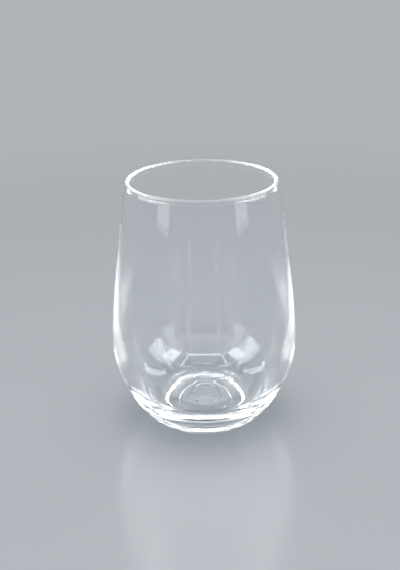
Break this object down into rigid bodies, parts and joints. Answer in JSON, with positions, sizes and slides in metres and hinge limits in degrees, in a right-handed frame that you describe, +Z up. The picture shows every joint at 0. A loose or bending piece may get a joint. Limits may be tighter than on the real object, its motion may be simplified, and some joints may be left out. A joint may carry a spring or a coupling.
{
  "type": "stemless wine glass",
  "caption": "Clear stemless wine glass: egg-shaped bowl drawn in to a rounded rim, on a thick base with a narrow resting ring and a shallow hollow underneath.",
  "frame": {"origin": "centre of the resting ring, on the surface that the glass stands on", "axes": "+Z up along the axis of the glass, towards the mouth; X and Y are alike, because the glass is round"},
  "size_m": [0.0882, 0.0882, 0.12],
  "materials": {
    "clear_glass": "clear, polished, fire-finished rim"
  },
  "bodies": {
    "root": {"base": "clear_glass", "heel": "clear_glass", "wall": "clear_glass", "rim": "clear_glass"}
  },
  "joints": []
}
